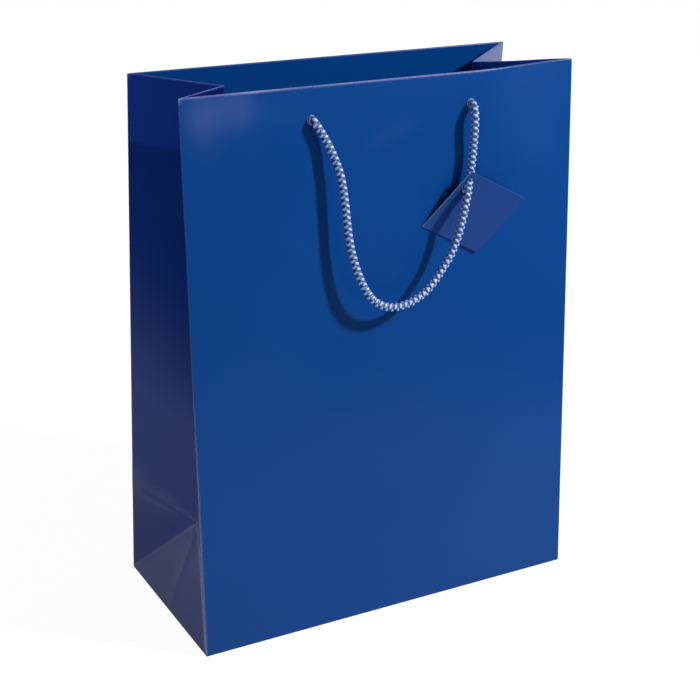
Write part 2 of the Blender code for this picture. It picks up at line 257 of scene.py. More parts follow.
# the outer ply above the bottom triangles: where its corners and its side creases are at v up the paper
def wallPoints(v):
    turn = np.clip((v - wallTop) / bag["turnLength"], 0, 1) * math.pi
    share = (1 - np.cos(turn)) / 2
    lift = bag["foldRise"] * np.sin(turn)
    height = np.where(v > hemStart, wallTop - (v - hemStart), np.minimum(v, wallTop))
    inward, rise = creaseAt(height)
    edgeY = halfDepth - height * leanSin
    edgeZ = height * leanCos + lift
    creaseZ = rise + lift
    panelStep = panelFold * share
    gussetStep = gussetFold * share
    run = np.hypot(inward, edgeY)
    alongX, alongY = inward / run, edgeY / run
    slide = (panelStep + gussetStep * alongX) / alongY
    cornerX = halfWidth - (gussetStep * alongY + slide * alongX)
    cornerY = edgeY - panelStep
    creaseX = halfWidth - (inward + gussetStep / alongY)
    return cornerX, cornerY, creaseX, edgeZ, creaseZ


# takes places on the flat sheet, s round the bag and v up the paper, to the sharply folded bag
def foldRaw(s, v):
    s, part, u = findPart(s)
    out = np.zeros((len(s), 3))
    isFront, isRight, isBack, isLeft = (part == k for k in range(4))
    high = v >= apexHeight
    low = (v < apexHeight) & (v >= 0)
    under = v < 0

    # above the bottom triangles, and round into the hem
    cornerX, cornerY, creaseX, edgeZ, creaseZ = wallPoints(np.maximum(v, apexHeight))
    for mask, sign in ((isFront, -1), (isBack, 1)):
        m = mask & high
        t = u[m] / panelSpan
        x = mix(-cornerX[m], cornerX[m], t) * (1 if sign < 0 else -1)
        out[m] = np.stack((x, sign * cornerY[m], edgeZ[m]), 1)
    for mask, sign in ((isRight, 1), (isLeft, -1)):
        m = mask & high
        # the left crease is as deep as the right one at its foot, and less so further up
        share, reached = bag["leftCrease"]
        easing = 1 if sign > 0 else mix(1, share, smoothStep(apexHeight, reached, v[m]))
        t = u[m] / halfDepth  # 0 at the first edge, 1 at the crease, 2 at the other edge
        first = t <= 1
        k = np.where(first, t, 2 - t)
        x = mix(cornerX[m], halfWidth - (halfWidth - creaseX[m]) * easing, k)
        y = mix(-cornerY[m], 0, k) * np.where(first, 1, -1)
        z = mix(edgeZ[m], creaseZ[m], k)
        out[m] = np.stack((sign * x, sign * y, z), 1)

    # the bottom 60 mm, where each gusset has its triangle
    topY = halfDepth - apexHeight * leanSin
    topZ = apexHeight * leanCos
    for mask, sign in ((isFront, -1), (isBack, 1)):
        m = mask & low
        t = v[m] / apexHeight
        x = (u[m] - halfWidth) * (1 if sign < 0 else -1)
        y = sign * mix(halfDepth, topY, t)
        out[m] = np.stack((x, y, mix(floorLevel, topZ, t)), 1)
    base = np.array((halfWidth, -halfDepth, floorLevel))
    edgeTop = np.array((halfWidth, -topY, topZ))
    farBase = np.array((halfWidth, halfDepth, floorLevel))
    for mask, sign in ((isRight, 1), (isLeft, -1)):
        m = mask & low
        apex = np.array((halfWidth - apexIn, 0, apexRise))
        first = u[m] <= halfDepth
        k = np.where(first, u[m], gussetSpan - u[m]) / apexHeight
        t = v[m] / apexHeight
        upper = t >= k
        sideways = base + (t - k)[:, None] * (edgeTop - base) + k[:, None] * (apex - base)
        flat = (
            base
            + ((k - t) * apexHeight / gussetSpan)[:, None] * (farBase - base)
            + t[:, None] * (apex - base)
        )
        p = np.where(upper[:, None], sideways, flat)
        p[:, 1] *= np.where(first, 1, -1)
        out[m] = p * np.array((sign, sign, 1))

    # the flaps of the bottom
    inset = -v
    sink = bag["plySink"]
    for mask, sign in ((isFront, -1), (isBack, 1)):
        m = mask & under
        x = (u[m] - halfWidth) * (1 if sign < 0 else -1)
        y = sign * (halfDepth - inset[m])
        rise = 0 if sign < 0 else sink * np.clip(inset[m] / bag["backPlyReach"], 0, 1)
        out[m] = np.stack((x, y, floorLevel + rise + 0 * x), 1)
    for mask, sign in ((isRight, 1), (isLeft, -1)):
        m = mask & under
        x = sign * (halfWidth - inset[m])
        y = sign * (u[m] - halfDepth)
        rise = sink * np.clip(inset[m] / bag["sidePlyReach"], 0, 1)
        out[m] = np.stack((x, y, floorLevel + rise), 1)
    return out


# how far the paper stands out from the sharply folded shape
def swell(s, v):
    s, part, u = findPart(s)
    span = np.where((part == 0) | (part == 2), panelSpan, gussetSpan)
    across = u / span
    up = np.clip(v / bag["panelHeight"], 0, 1)
    panel = np.sin(math.pi * across) * np.sin(math.pi * up) ** 0.8
    size = np.choose(part, [bag["frontBow"], 0, -bag["backBow"] * 0.4, 0])
    fade = smoothStep(0.001, 0.03, np.minimum(u, span - u)) * smoothStep(0.0, 0.04, v)
    fade = fade * (1 - smoothStep(bag["panelHeight"] - 0.060, bag["panelHeight"] - 0.030, v))
    wavy = sum(share * np.sin(a * u + b * v + start + step * part) for share, a, b, start, step in waves)
    both = size * panel + bag["ripple"] * wavy * fade * (span > gussetSpan * 1.5)
    # each half of a gusset bows a little towards the inside
    halves = np.abs(np.sin(2 * math.pi * across)) * smoothStep(apexHeight, apexHeight + 0.07, v)
    halves = halves * (1 - smoothStep(bag["panelHeight"] - 0.085, bag["panelHeight"] - 0.043, v))
    both = both + np.where(span < gussetSpan * 1.5, -bag["gussetBow"] * halves, 0)
    for place, size, height in bulges:
        away = ((s - place[0]) / size[0]) ** 2 + ((v - place[1]) / size[1]) ** 2
        both = both + height * np.exp(-away / 2) * smoothStep(0, 0.012, np.minimum(u, span - u))
    for start, end, width, height in wrinkles:
        both = both + height * streak(s, v, start, end, width)
    return both + slantRidge(part, u, v)


# a soft line on the flat paper, 1 along its middle
def streak(s, v, start, end, width):
    run = np.array(end) - np.array(start)
    length = math.hypot(*run)
    run = run / length
    along = (s - start[0]) * run[0] + (v - start[1]) * run[1]
    beside = np.abs((s - start[0]) * run[1] - (v - start[1]) * run[0])
    ends = smoothStep(-0.004, 0.010, along) * (1 - smoothStep(length - 0.010, length + 0.004, along))
    return np.exp(-((beside / width) ** 2) / 2) * ends


# the creases at the foot stand out a little: height, half width and what else they need
ridges = {
    "slant": (0.00022, 0.0012),
    "level": (0.0012, 0.0012, 0.0050),  # above the triangle; the last is how much wider it gets by the back
    "levelClimb": 0.0060,
    "backLevel": 0.00010,
}


def slantRidge(part, u, v):
    side = (part == 1) | (part == 3)
    height, halfWide = ridges["slant"]
    slant = np.minimum(np.abs(u - v), np.abs(gussetSpan - u - v)) * math.sqrt(0.5)
    ridge = np.clip(1 - slant / halfWide, 0, 1) * (v > 0.002) * (v < apexHeight - 0.001)
    both = np.where(side, height * ridge, 0)
    back = np.where(part == 1, u - halfDepth, np.where(part == 3, halfDepth - u, 0))
    back = np.where(part == 2, halfDepth, back)
    reach = np.clip(back / halfDepth, 0, 1)
    height, halfWide, gain = ridges["level"]
    climbed = v - apexHeight - ridges["levelClimb"] * reach
    level = np.exp(-((climbed / (halfWide + gain * reach)) ** 2) / 2)
    fade = smoothStep(0.0, 0.010, np.abs(np.mod(u, gussetSpan)))
    size = np.where(part == 2, ridges["backLevel"], height * smoothStep(0, 0.6, reach) * fade)
    return both + size * level * (v > 0)


# the front panel's right top corner has come in a little, and the side creases end a little higher
def turnCorner(points):
    x, y, z = points.T
    share = smoothStep(0.060, 0.128, x) * np.clip(z / 0.33, 0, 1) ** 1.6 * smoothStep(0.0, 0.036, -y)
    points = points + share[:, None] * np.array(bag["cornerTurn"])
    nearCrease = np.clip(1 - np.abs(y) / 0.037, 0, 1) * smoothStep(0.25, 0.33, z)
    nearCrease = nearCrease * smoothStep(0.06, 0.08, np.abs(x))
    points[:, 2] += nearCrease * np.where(x > 0, *bag["creaseLift"])
    return points


# the folded place of each paper point, with soft creases and a slight swell
def foldPaper(s, v):
    radius = bag["foldRadius"]
    total = np.zeros((len(s), 3))
    ways = [(0, 0)]
    for step in range(8):
        angle = step * math.pi / 4
        ways.append((math.cos(angle) * radius, math.sin(angle) * radius))
    nearTop = v > wallTop - 0.0015
    for ds, dv in ways:
        total += foldRaw(s + ds, v + np.where(nearTop, 0, dv))
    total /= len(ways)
    step = 0.0015
    along = foldRaw(s + step, v) - foldRaw(s - step, v)
    upward = foldRaw(s, v + step) - foldRaw(s, v - step)
    out = np.cross(along, upward)
    out /= np.maximum(np.linalg.norm(out, axis=1), 1e-9)[:, None]
    return turnCorner(total + out * swell(s, v)[:, None])


def spread(low, high, spacing):
    count = max(1, round((high - low) / spacing))
    return [low + (high - low) * k / count for k in range(count + 1)]


# the sheet's mesh: fine beside each fold, at these steps from it, and then with these sides
sheetMesh = {
    "nearFold": (0.0004, 0.0008, 0.0014, 0.0028, 0.0055),
    "across": 0.0052,
    "flap": 0.0075,
    "triangle": 0.006,
    "wall": 0.0068,
    "hemWall": 0.0035,  # the wall's top part
    "hemWallHeight": 0.045,
    "hem": 0.0045,
    "besideSlant": (-0.0026, -0.0009, 0.0, 0.0009, 0.0026),
}


def paperColumns():
    near = sheetMesh["nearFold"]
    folds = [0, panelSpan, panelSpan + halfDepth, panelSpan + gussetSpan]
    folds += [2 * panelSpan + gussetSpan, 2 * panelSpan + 1.5 * gussetSpan, roundSpan]
    columns = []
    for a, b in zip(folds, folds[1:]):
        columns += [a] + [a + n for n in near]
        columns += spread(a + near[-1], b - near[-1], sheetMesh["across"])[1:-1]
        columns += [b - n for n in reversed(near)]
    return columns + [roundSpan]


def paperRows():
    near = sheetMesh["nearFold"]
    flap = halfDepth + bag["flapOverlap"]
    hemWall = bag["panelHeight"] - sheetMesh["hemWallHeight"]
    rows = spread(-flap, -apexHeight, sheetMesh["flap"])
    rows += spread(-apexHeight, -near[-1], sheetMesh["flap"])[1:] + [-n for n in reversed(near[:-1])]
    rows += [0.0] + list(near) + spread(near[-1], apexHeight - near[-1], sheetMesh["triangle"])[1:-1]
    rows += [apexHeight - n for n in reversed(near)] + [apexHeight] + [apexHeight + n for n in near]
    rows += spread(apexHeight + near[-1], hemWall, sheetMesh["wall"])[1:]
    rows += spread(hemWall, wallTop - near[-2], sheetMesh["hemWall"])[1:]
    rows += [wallTop - n for n in reversed(near[:3])] + [wallTop]
    rows += [wallTop + bag["turnLength"] * k / 8 for k in range(1, 8)]
    rows += [hemStart] + [hemStart + n for n in near[:4]]
    rows += spread(hemStart + near[3], hemEnd, sheetMesh["hem"])[1:]
    return rows


# selects the faces of the mesh in edit mode whose middle passes the test
def selectFaces(obj, test):
    bm = bmesh.from_edit_mesh(obj.data)
    for face in bm.faces:
        face.select_set(bool(test(face.calc_center_median())))
    bm.select_flush(True)
    bmesh.update_edit_mesh(obj.data)


# cuts a line into the flat paper, as scoring does before a fold
def score(obj, test, point, normal):
    bpy.ops.mesh.select_all(action="DESELECT")
    selectFaces(obj, test)
    bpy.ops.mesh.bisect(plane_co=point, plane_no=normal, threshold=1e-7)


def buildBagPaper():
    columns, rows = paperColumns(), paperRows()
    points = [(s, v, 0) for v in rows for s in columns]
    paper = newMeshObject("bag_paper", points, gridFaces(len(rows), len(columns)))
    activate(paper)
    bpy.ops.object.mode_set(mode="EDIT")
    diagonal = math.sqrt(0.5)
    # the slanting creases of both bottom triangles
    for start in (cornerStarts[1], cornerStarts[3]):
        for step in sheetMesh["besideSlant"]:
            for foot, lean in ((start, 1), (start + gussetSpan, -1)):

                def inTriangle(p, start=start):
                    return start < p.x < start + gussetSpan and 0 < p.y < apexHeight

                score(paper, inTriangle, (foot + step, 0, 0), (diagonal, -lean * diagonal, 0))
    # the flaps' slanting ends: where each starts, its width and how far it goes past the slant
    past = bag["flapPastSlant"]
    spans = ((panelSpan, 0.0), (gussetSpan, past), (panelSpan, 0.0), (gussetSpan, past))
    flaps = [(start, *span) for start, span in zip(cornerStarts, spans)]
    for start, span, extra in flaps:
        end = start + span

        def inFlap(p, start=start, end=end):
            return start < p.x < end and -apexHeight < p.y < 0

        def inLap(p, start=start, end=end):
            return start < p.x < end and p.y < -apexHeight

        score(paper, inFlap, (start - extra, 0, 0), (diagonal, diagonal, 0))
        score(paper, inFlap, (end + extra, 0, 0), (-diagonal, diagonal, 0))
        if span > gussetSpan * 1.5:
            score(paper, inLap, (start + 2 * apexHeight, 0, 0), (diagonal, -diagonal, 0))
            score(paper, inLap, (end - 2 * apexHeight, 0, 0), (-diagonal, -diagonal, 0))
    bpy.ops.mesh.select_all(action="DESELECT")

    def surplus(p):
        if p.y > 0:
            return False
        part = 3 if p.x > cornerStarts[3] else 2 if p.x > cornerStarts[2] else int(p.x > cornerStarts[1])
        start, span, extra = flaps[part]
        fromEnd = min(p.x - start, start + span - p.x)
        if p.y < -apexHeight:
            # the other flaps end at the middle, and only the front one laps over it
            return part > 0 or fromEnd < 2 * apexHeight + p.y
        if part == 2 and p.y < -halfDepth + bag["flapOverlap"] - bag["flapGlue"]:
            return True
        return fromEnd + extra < -p.y

    selectFaces(paper, surplus)
    bpy.ops.mesh.delete(type="FACE")
    bpy.ops.mesh.select_all(action="SELECT")
    bpy.ops.mesh.delete_loose()
    bpy.ops.object.mode_set(mode="OBJECT")
    return paper


# where the film is painted light along the folds, partly rubbed wear and partly a painted highlight where
# the rounded folds catch the light: amounts from 0 to 1, and half widths
foldRubAndHighlight = {
    "upright": (0.10, 0.0011),
    "frontLeft": (0.55, 0.0012),
    "frontLeftFade": (0.08, 0.20),  # up the paper
    "top": 0.0017,
    "frontTop": (0.044, 0.020),  # where along the front the top fold is lightest, and how wide
    "frontTopRest": (0.62, 0.40),  # further right, and at the least
    "frontTopFade": (0.185, 0.212),
    "corner": (0.8, 0.0025, 0.0030),
    "frontRightCorner": 0.1,
    "sideCrease": (0.30, 0.0011),
    "lowCrease": (0.16, 0.0030),
    "slant": (0.62, 0.10, 0.0014),  # the triangle's back edge, its front edge, half width
    # the band above the triangle is a painted sheen
    "level": (0.26, 0.0105),  # the band above the triangle, and how much it climbs
    "backLevel": (0.20, 0.0018),
}


# how light the paper is painted along each fold: partly rubbed wear, partly painted highlight
def foldMarks(s, v):
    s, part, u = findPart(s)
    side = (part == 1) | (part == 3)
    span = np.where(side, gussetSpan, panelSpan)

    def line(distance, width):
        return 1 - smoothStep(0, width, np.abs(distance))

    edge = np.minimum(u, span - u)
    frontLeft = np.minimum(s, roundSpan - s)
    fromFrontRight = np.abs(s - panelSpan)
    amount, width = foldRubAndHighlight["upright"]
    mark = amount * line(edge, width) * (fromFrontRight > 0.003)
    amount, width = foldRubAndHighlight["frontLeft"]
    mark = np.maximum(mark, amount * line(frontLeft, width) * (1 - smoothStep(*foldRubAndHighlight["frontLeftFade"], v)))
    # painted highlights and rubbed wear round the top, and at the four corners of the mouth
    middle, reach = foldRubAndHighlight["frontTop"]
    rest, least = foldRubAndHighlight["frontTopRest"]
    bright = np.exp(-(((s - middle) / reach) ** 2)) + rest * smoothStep(0.04, 0.10, s)
    bright = np.maximum(least, np.clip(bright, 0, 1)) * (1 - smoothStep(*foldRubAndHighlight["frontTopFade"], s))
    patchy = np.where(part == 0, bright, 0.16 + 0.14 * np.sin(31 * s + 0.4) * np.sin(83 * s + 2.0))
    mark = np.maximum(mark, patchy * line(v - wallTop - bag["turnLength"] * 0.4, foldRubAndHighlight["top"]))
    amount, width, height = foldRubAndHighlight["corner"]
    amount = np.where(fromFrontRight < 0.01, foldRubAndHighlight["frontRightCorner"], amount)
    mark = np.maximum(mark, amount * line(edge, width) * line(v - wallTop, height))
    # the side creases, and the triangle at the foot of each
    amount, width = foldRubAndHighlight["sideCrease"]
    mark = np.maximum(mark, side * amount * line(u - halfDepth, width) * (v > apexHeight))
    amount, width = foldRubAndHighlight["lowCrease"]
    mark = np.maximum(mark, side * amount * line(u - halfDepth, width) * (v < apexHeight) * (v > 0))
    slant = np.minimum(np.abs(u - v), np.abs(gussetSpan - u - v)) * math.sqrt(0.5)
    within = (v > 0.0005) * (v < apexHeight + 0.001)
    backHalf = np.where(part == 1, u > halfDepth, np.where(part == 3, u < halfDepth, False))
    backEdge, frontEdge, width = foldRubAndHighlight["slant"]
    mark = np.maximum(mark, side * np.where(backHalf, backEdge, frontEdge) * line(slant, width) * within)
    back = np.where(part == 1, u - halfDepth, halfDepth - u) / halfDepth
    amount, climb = foldRubAndHighlight["level"]
    band = line(v - apexHeight - climb * back, 0.0015 + 0.0060 * back)
    mark = np.maximum(mark, backHalf * amount * band)
    amount, width = foldRubAndHighlight["backLevel"]
    return np.maximum(mark, (part == 2) * amount * line(v - apexHeight, width))


# where the paper is painted paler (above 0), a painted sheen, or darker (below 0), a painted shade, than its
# plain blue
def paintedSheenAndShade(s, v):
    s, _, _ = findPart(s)
    total = np.zeros(len(s))
    for start, end, width, amount in sheenPatches:
        total += amount * streak(s, v, start, end, width)
    # the left gusset's hem is shaded by the front panel
    paintedShade = (s > cornerStarts[3] + halfDepth) * smoothStep(wallTop + 0.0005, hemStart + 0.0010, v)
    # painted shade: the right gusset's back half is painted darker and greyer at its top
    farSide = (s > cornerStarts[1] + halfDepth) * (s < cornerStarts[2])
    paintedShade = paintedShade + 0.55 * farSide * smoothStep(0.300, 0.318, v) * (v < hemStart)
    return total - 0.85 * paintedShade


# painted light: 0 on the two wide panels, 1 on the gussets, which take a painted shade tint, and up to 2 on
# the left one where the hem backs it, whose top is painted lighter
def sideShadeAndLight(s, v):
    _, part, _ = findPart(s)
    hem = 0.15 * smoothStep(0.22, 0.288, v) + 0.85 * smoothStep(0.2895, 0.2925, v)
    hem = hem * (1 - smoothStep(wallTop, wallTop + 0.0010, v)) * (part == 3)
    return np.isin(part, (1, 3)) * (1 + hem)


def foldBag(paper):
    mesh = paper.data
    flat = readPoints(mesh)[:, :2]
    s, v = flat.T
    keepFlatPlaces(mesh, flat)
    keepValues(mesh, "foldMark", foldMarks(s, v))
    keepValues(mesh, "sideShadeTint", sideShadeAndLight(s, v))
    keepValues(mesh, "paintedSheenAndShade", paintedSheenAndShade(s, v))
    movePoints(mesh, foldPaper(s, v))
    activate(paper)
    bpy.ops.object.mode_set(mode="EDIT")
    bpy.ops.mesh.select_all(action="SELECT")
    bpy.ops.mesh.remove_doubles(threshold=0.00002)
    bpy.ops.mesh.dissolve_degenerate(threshold=0.00001)
    bpy.ops.object.mode_set(mode="OBJECT")


# the strip of the sheet that is glued inside the back panel at its right edge
def addSeamTab():
    outer = halfWidth - 2 * bag["paper"]
    foot, head = bag["seamTabEnds"]
    columns = spread(outer - bag["seamTab"], outer, 0.004)
    rows = spread(foot, bag["panelHeight"] - bag["hemDepth"] - head, 0.008)
    places = np.array([(cornerStarts[2] + halfWidth - x, height) for height in rows for x in columns])
    folded = foldPaper(places[:, 0], places[:, 1])
    folded[:, 1] -= bag["paper"] + 0.00004
    wide = len(columns)
    faces = [
        (r * wide + c, (r + 1) * wide + c, (r + 1) * wide + c + 1, r * wide + c + 1)
        for r in range(len(rows) - 1)
        for c in range(wide - 1)
    ]
    tab = newMeshObject("seam_tab", folded, faces)
    keepFlatPlaces(tab.data, places)
    return tab


holes = {"drop": 0.0182, "backDrop": 0.0200, "spacing": 0.1046, "shift": 0.0028, "across": 0.0058}


def punchHandleHoles(obj, edge):
    for side, shift, drop in ((-1, holes["shift"], holes["drop"]), (1, 0, holes["backDrop"])):
        turn = Euler((math.pi / 2 - side * math.asin(leanSin), 0, 0)).to_quaternion()
        for hand in (-1, 1):
            middle = panelPoint(shift + hand * holes["spacing"] / 2, bag["panelHeight"] - drop, 0, side)
            punchHole(obj, middle, holes["across"], turn, edge)


def newMaterial(name):
    material = bpy.data.materials.new(name)
    material.use_nodes = True
    tree = material.node_tree
    return material, tree, tree.nodes["Principled BSDF"]


def addNode(tree, kind, values=None, **settings):
    node = tree.nodes.new(kind)
    for key, value in settings.items():
        setattr(node, key, value)
    for key, value in (values or {}).items():
        node.inputs[key].default_value = value
    return node


def addRamp(tree, source, stops, smooth=True):
    node = tree.nodes.new("ShaderNodeValToRGB")
    ramp = node.color_ramp
    ramp.interpolation = "EASE" if smooth else "LINEAR"
    while len(ramp.elements) < len(stops):
        ramp.elements.new(0.5)
    for element, (place, colour) in zip(ramp.elements, stops):
        element.position = place
        element.color = (*colour, 1)
    tree.links.new(source, node.inputs["Fac"])
    return node.outputs["Color"]


def addMath(tree, operation, a, b=0.0, clamp=False):
    node = tree.nodes.new("ShaderNodeMath")
    node.operation = operation
    node.use_clamp = clamp
    for socket, value in zip(node.inputs, (a, b)):
        if isinstance(value, (int, float)):
            socket.default_value = value
        else:
            tree.links.new(value, socket)
    return node.outputs[0]


def addRange(tree, source, given, result):
    values = {"From Min": given[0], "From Max": given[1], "To Min": result[0], "To Max": result[1]}
    node = addNode(tree, "ShaderNodeMapRange", values, interpolation_type="SMOOTHSTEP")
    tree.links.new(source, node.inputs["Value"])
    return node.outputs["Result"]


def readValues(tree, name):
    return addNode(tree, "ShaderNodeAttribute", attribute_name=name).outputs["Fac"]


def addMix(tree, factor, a, b):
    node = tree.nodes.new("ShaderNodeMix")
    node.data_type = "RGBA"
    for name, value in (("Factor", factor), ("A", a), ("B", b)):
        socket = next(x for x in node.inputs if x.name == name and x.enabled)
        if hasattr(value, "links"):
            tree.links.new(value, socket)
        elif name == "Factor":
            socket.default_value = value
        else:
            socket.default_value = (*value, 1)
    return next(x for x in node.outputs if x.enabled)


def newGroup(name, inputs, outputs):
    group = bpy.data.node_groups.new(name, "ShaderNodeTree")
    for title, kind, value in inputs:
        socket = group.interface.new_socket(title, in_out="INPUT", socket_type=kind)
        if value is not None:
            socket.default_value = value
    for title, kind in outputs:
        group.interface.new_socket(title, in_out="OUTPUT", socket_type=kind)
    return group, group.nodes.new("NodeGroupInput").outputs, group.nodes.new("NodeGroupOutput").inputs


# soft cloudy variation and a fine fibre bump, shared by every paper and card
def makePaperFibre():
    group, given, result = newGroup(
        "paperFibre",
        [
            ("Vector", "NodeSocketVector", None),
            ("Cloud Size", "NodeSocketFloat", 14.0),
            ("Fibre Size", "NodeSocketFloat", 900.0),
            ("Bump Strength", "NodeSocketFloat", 0.1),
            ("Bump Distance", "NodeSocketFloat", 0.0001),
        ],
        [
            ("Cloud", "NodeSocketFloat"),
            ("Fibre", "NodeSocketFloat"),
            ("Normal", "NodeSocketVector"),
        ],
    )
    link = group.links.new
    cloud = addNode(group, "ShaderNodeTexNoise", {"Detail": 3.0, "Roughness": 0.55})
    link(given["Vector"], cloud.inputs["Vector"])
    link(given["Cloud Size"], cloud.inputs["Scale"])
    fibre = addNode(group, "ShaderNodeTexNoise", {"Detail": 4.0, "Roughness": 0.6, "Distortion": 0.6})
    link(given["Vector"], fibre.inputs["Vector"])
    link(given["Fibre Size"], fibre.inputs["Scale"])
    bump = addNode(group, "ShaderNodeBump")
    link(fibre.outputs["Fac"], bump.inputs["Height"])
    link(given["Bump Strength"], bump.inputs["Strength"])
    link(given["Bump Distance"], bump.inputs["Distance"])
    link(cloud.outputs["Fac"], result["Cloud"])
    link(fibre.outputs["Fac"], result["Fibre"])
    link(bump.outputs["Normal"], result["Normal"])
    return group


paperFibre = makePaperFibre()

laminate = {
    "blue": (0.0016, 0.0570, 0.2620),
    "deepBlue": (0.0012, 0.0510, 0.2390),
    # the gussets take a painted shade tint, and the left gusset's top, where the hem backs it, is painted
    # lighter
    "shadedSideBlue": (0.0016, 0.0440, 0.3200),
    "litSideHemBlue": (0.0110, 0.0720, 0.5200),
    # the colour of the folds' painted highlight and rubbed wear
    "rubAndHighlightBlue": (0.290, 0.300, 0.640),
    # the colour of the painted sheen, and then of the painted shade
    "sheenBlue": (0.500, 0.440, 0.820),
    "shadeBlue": (0.0, 0.004, 0.040),
    "foldAmount": 0.9,
    "roughness": 0.24,
    "specular": 0.13,
}


def addFibre(tree, values):
    node = tree.nodes.new("ShaderNodeGroup")
    node.node_tree = paperFibre
    for key, value in values.items():
        node.inputs[key].default_value = value
    place = tree.nodes.new("ShaderNodeTexCoord")
    tree.links.new(place.outputs["Object"], node.inputs["Vector"])
    return node.outputs


def makeLaminate(name, values):
    material, tree, shader = newMaterial(name)
    fibre = addFibre(tree, {"Cloud Size": 9.0, "Fibre Size": 700.0, "Bump Strength": 0.05})
    colour = addMix(tree, fibre["Cloud"], values["deepBlue"], values["blue"])
    # painted shade tint on the gussets, then painted light on the left gusset's top
    side = readValues(tree, "sideShadeTint")
    colour = addMix(tree, side, colour, values["shadedSideBlue"])
    hem = addMath(tree, "SUBTRACT", side, 1.0, clamp=True)
    colour = addMix(tree, hem, colour, values["litSideHemBlue"])
    # painted sheen mixes the colour paler, painted shade mixes it darker
    tone = readValues(tree, "paintedSheenAndShade")
    colour = addMix(tree, addMath(tree, "MAXIMUM", tone, 0.0), colour, values["sheenBlue"])
    shaded = addMath(tree, "MULTIPLY", tone, -1.0, clamp=True)
    colour = addMix(tree, shaded, colour, values["shadeBlue"])
    # painted highlight and rubbed wear along the folds
    mark = readValues(tree, "foldMark")
    rubbedAndHighlit = addMath(tree, "MULTIPLY", mark, fibre["Fibre"])
    rubbedAndHighlit = addMath(tree, "MULTIPLY", rubbedAndHighlit, values["foldAmount"] * 2, clamp=True)
    colour = addMix(tree, rubbedAndHighlit, colour, values["rubAndHighlightBlue"])
    tree.links.new(colour, shader.inputs["Base Color"])
    rough = addMath(tree, "MULTIPLY", fibre["Cloud"], 0.10)
    rough = addMath(tree, "ADD", rough, values["roughness"] - 0.05)
    tree.links.new(rough, shader.inputs["Roughness"])
    tree.links.new(fibre["Normal"], shader.inputs["Normal"])
    shader.inputs["Specular IOR Level"].default_value = values["specular"]
    return material


def makePlainPaper(name, dark, light, roughness, fibreSize=900.0, strength=0.25, specks=0.0):
    material, tree, shader = newMaterial(name)
    fibre = addFibre(tree, {"Cloud Size": 22.0, "Fibre Size": fibreSize, "Bump Strength": strength})
    colour = addMix(tree, fibre["Cloud"], dark, light)
    if specks:
        speck = addRamp(tree, fibre["Fibre"], ((0.30, (1, 1, 1)), (0.40, (0, 0, 0))))
        speck = addMath(tree, "MULTIPLY", speck, specks)
        colour = addMix(tree, speck, colour, tuple(0.6 * c for c in dark))
    tree.links.new(colour, shader.inputs["Base Color"])
    rough = addMath(tree, "MULTIPLY", fibre["Fibre"], 0.08)
    tree.links.new(addMath(tree, "ADD", rough, roughness - 0.04), shader.inputs["Roughness"])
    tree.links.new(fibre["Normal"], shader.inputs["Normal"])
    shader.inputs["Specular IOR Level"].default_value = 0.3
    return material


blueLaminate = makeLaminate("blue_laminated_paper", laminate)
plainWhite = makePlainPaper("white_paper_side", (0.74, 0.73, 0.70), (0.80, 0.79, 0.77), 0.80)
cutEdge = makePlainPaper("white_cut_edge", (0.80, 0.79, 0.78), (0.90, 0.89, 0.88), 0.85)

print("folding the bag")
paper = buildBagPaper()
foldBag(paper)
tab = addSeamTab()
for material in (blueLaminate, plainWhite, cutEdge):
    paper.data.materials.append(material)
    tab.data.materials.append(material)
whiteInside = {"material_offset": 1, "material_offset_rim": 2}  # the cut edge takes the third material
for sheet in (paper, tab):
    thicken(sheet, bag["paper"], use_quality_normals=True, **whiteInside)
activate(paper)
tab.select_set(True)
bpy.ops.object.join()
paper.name = "bag_body_paper"
print("punching the handle holes")
punchHandleHoles(paper, cutEdge)
activate(paper)
bpy.ops.object.shade_smooth_by_angle(angle=math.radians(40))
dress(paper, "bag_body")

cord = {
    "diameter": 0.006,
    "strands": 2,  # in each direction
    "pitch": 0.0034,
    "core": 0.00162,
    "strandRise": 0.00054,  # how far a strand stands out of the core
    "weaveRise": 0.00028,  # and how far it rises and dips as it passes the others
    "narrow": 3.2,  # one over half the strand's share of its lane
    "sides": 48,
    "ringStep": 0.00034,
    "startTaper": (1.0, 0.0),  # how thin the cord is at its end, and over what length
    "endTaper": (1.0, 0.0),
}

